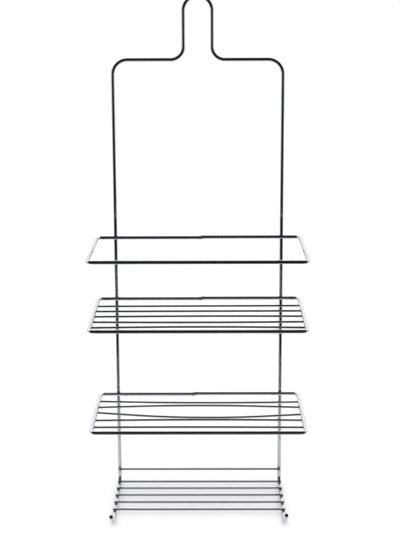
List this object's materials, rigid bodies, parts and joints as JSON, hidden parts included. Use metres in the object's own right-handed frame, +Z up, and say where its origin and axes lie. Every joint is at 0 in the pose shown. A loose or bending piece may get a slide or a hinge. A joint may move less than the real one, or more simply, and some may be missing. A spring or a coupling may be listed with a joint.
{
  "type": "shower caddy",
  "caption": "Hanging shower caddy of bent chrome-plated wire: a loop for the shower arm, an open bottle rail, wire shelves, a bottom tray and front hooks.",
  "frame": {"origin": "inside top of the hanging loop, where the shower arm bears, in the plane of the two rails", "axes": "+Z up, +Y towards the wall, +X to the right as seen from the front"},
  "size_m": [0.273, 0.1396, 0.6685],
  "materials": {
    "frame_chrome": "bright chrome plate on 5 mm drawn steel wire",
    "grid_chrome": "bright chrome plate on 3 mm drawn steel wire"
  },
  "bodies": {
    "root": {"main_frame": "frame_chrome", "bottle_rail": "frame_chrome", "upper_shelf_rim": "frame_chrome", "upper_shelf_wire_1": "grid_chrome", "upper_shelf_wire_2": "grid_chrome", "upper_shelf_wire_3": "grid_chrome", "upper_shelf_wire_4": "grid_chrome", "upper_shelf_wire_5": "grid_chrome", "lower_shelf_rim": "frame_chrome", "lower_shelf_wire_1": "grid_chrome", "lower_shelf_wire_2": "grid_chrome", "lower_shelf_wire_3": "grid_chrome", "lower_shelf_wire_4": "grid_chrome", "lower_shelf_wire_5": "grid_chrome", "tray_wire_1": "grid_chrome", "tray_wire_2": "grid_chrome", "tray_wire_3": "grid_chrome", "tray_wire_4": "grid_chrome", "tray_wire_5": "grid_chrome", "tray_guard_wire": "grid_chrome"}
  },
  "joints": []
}
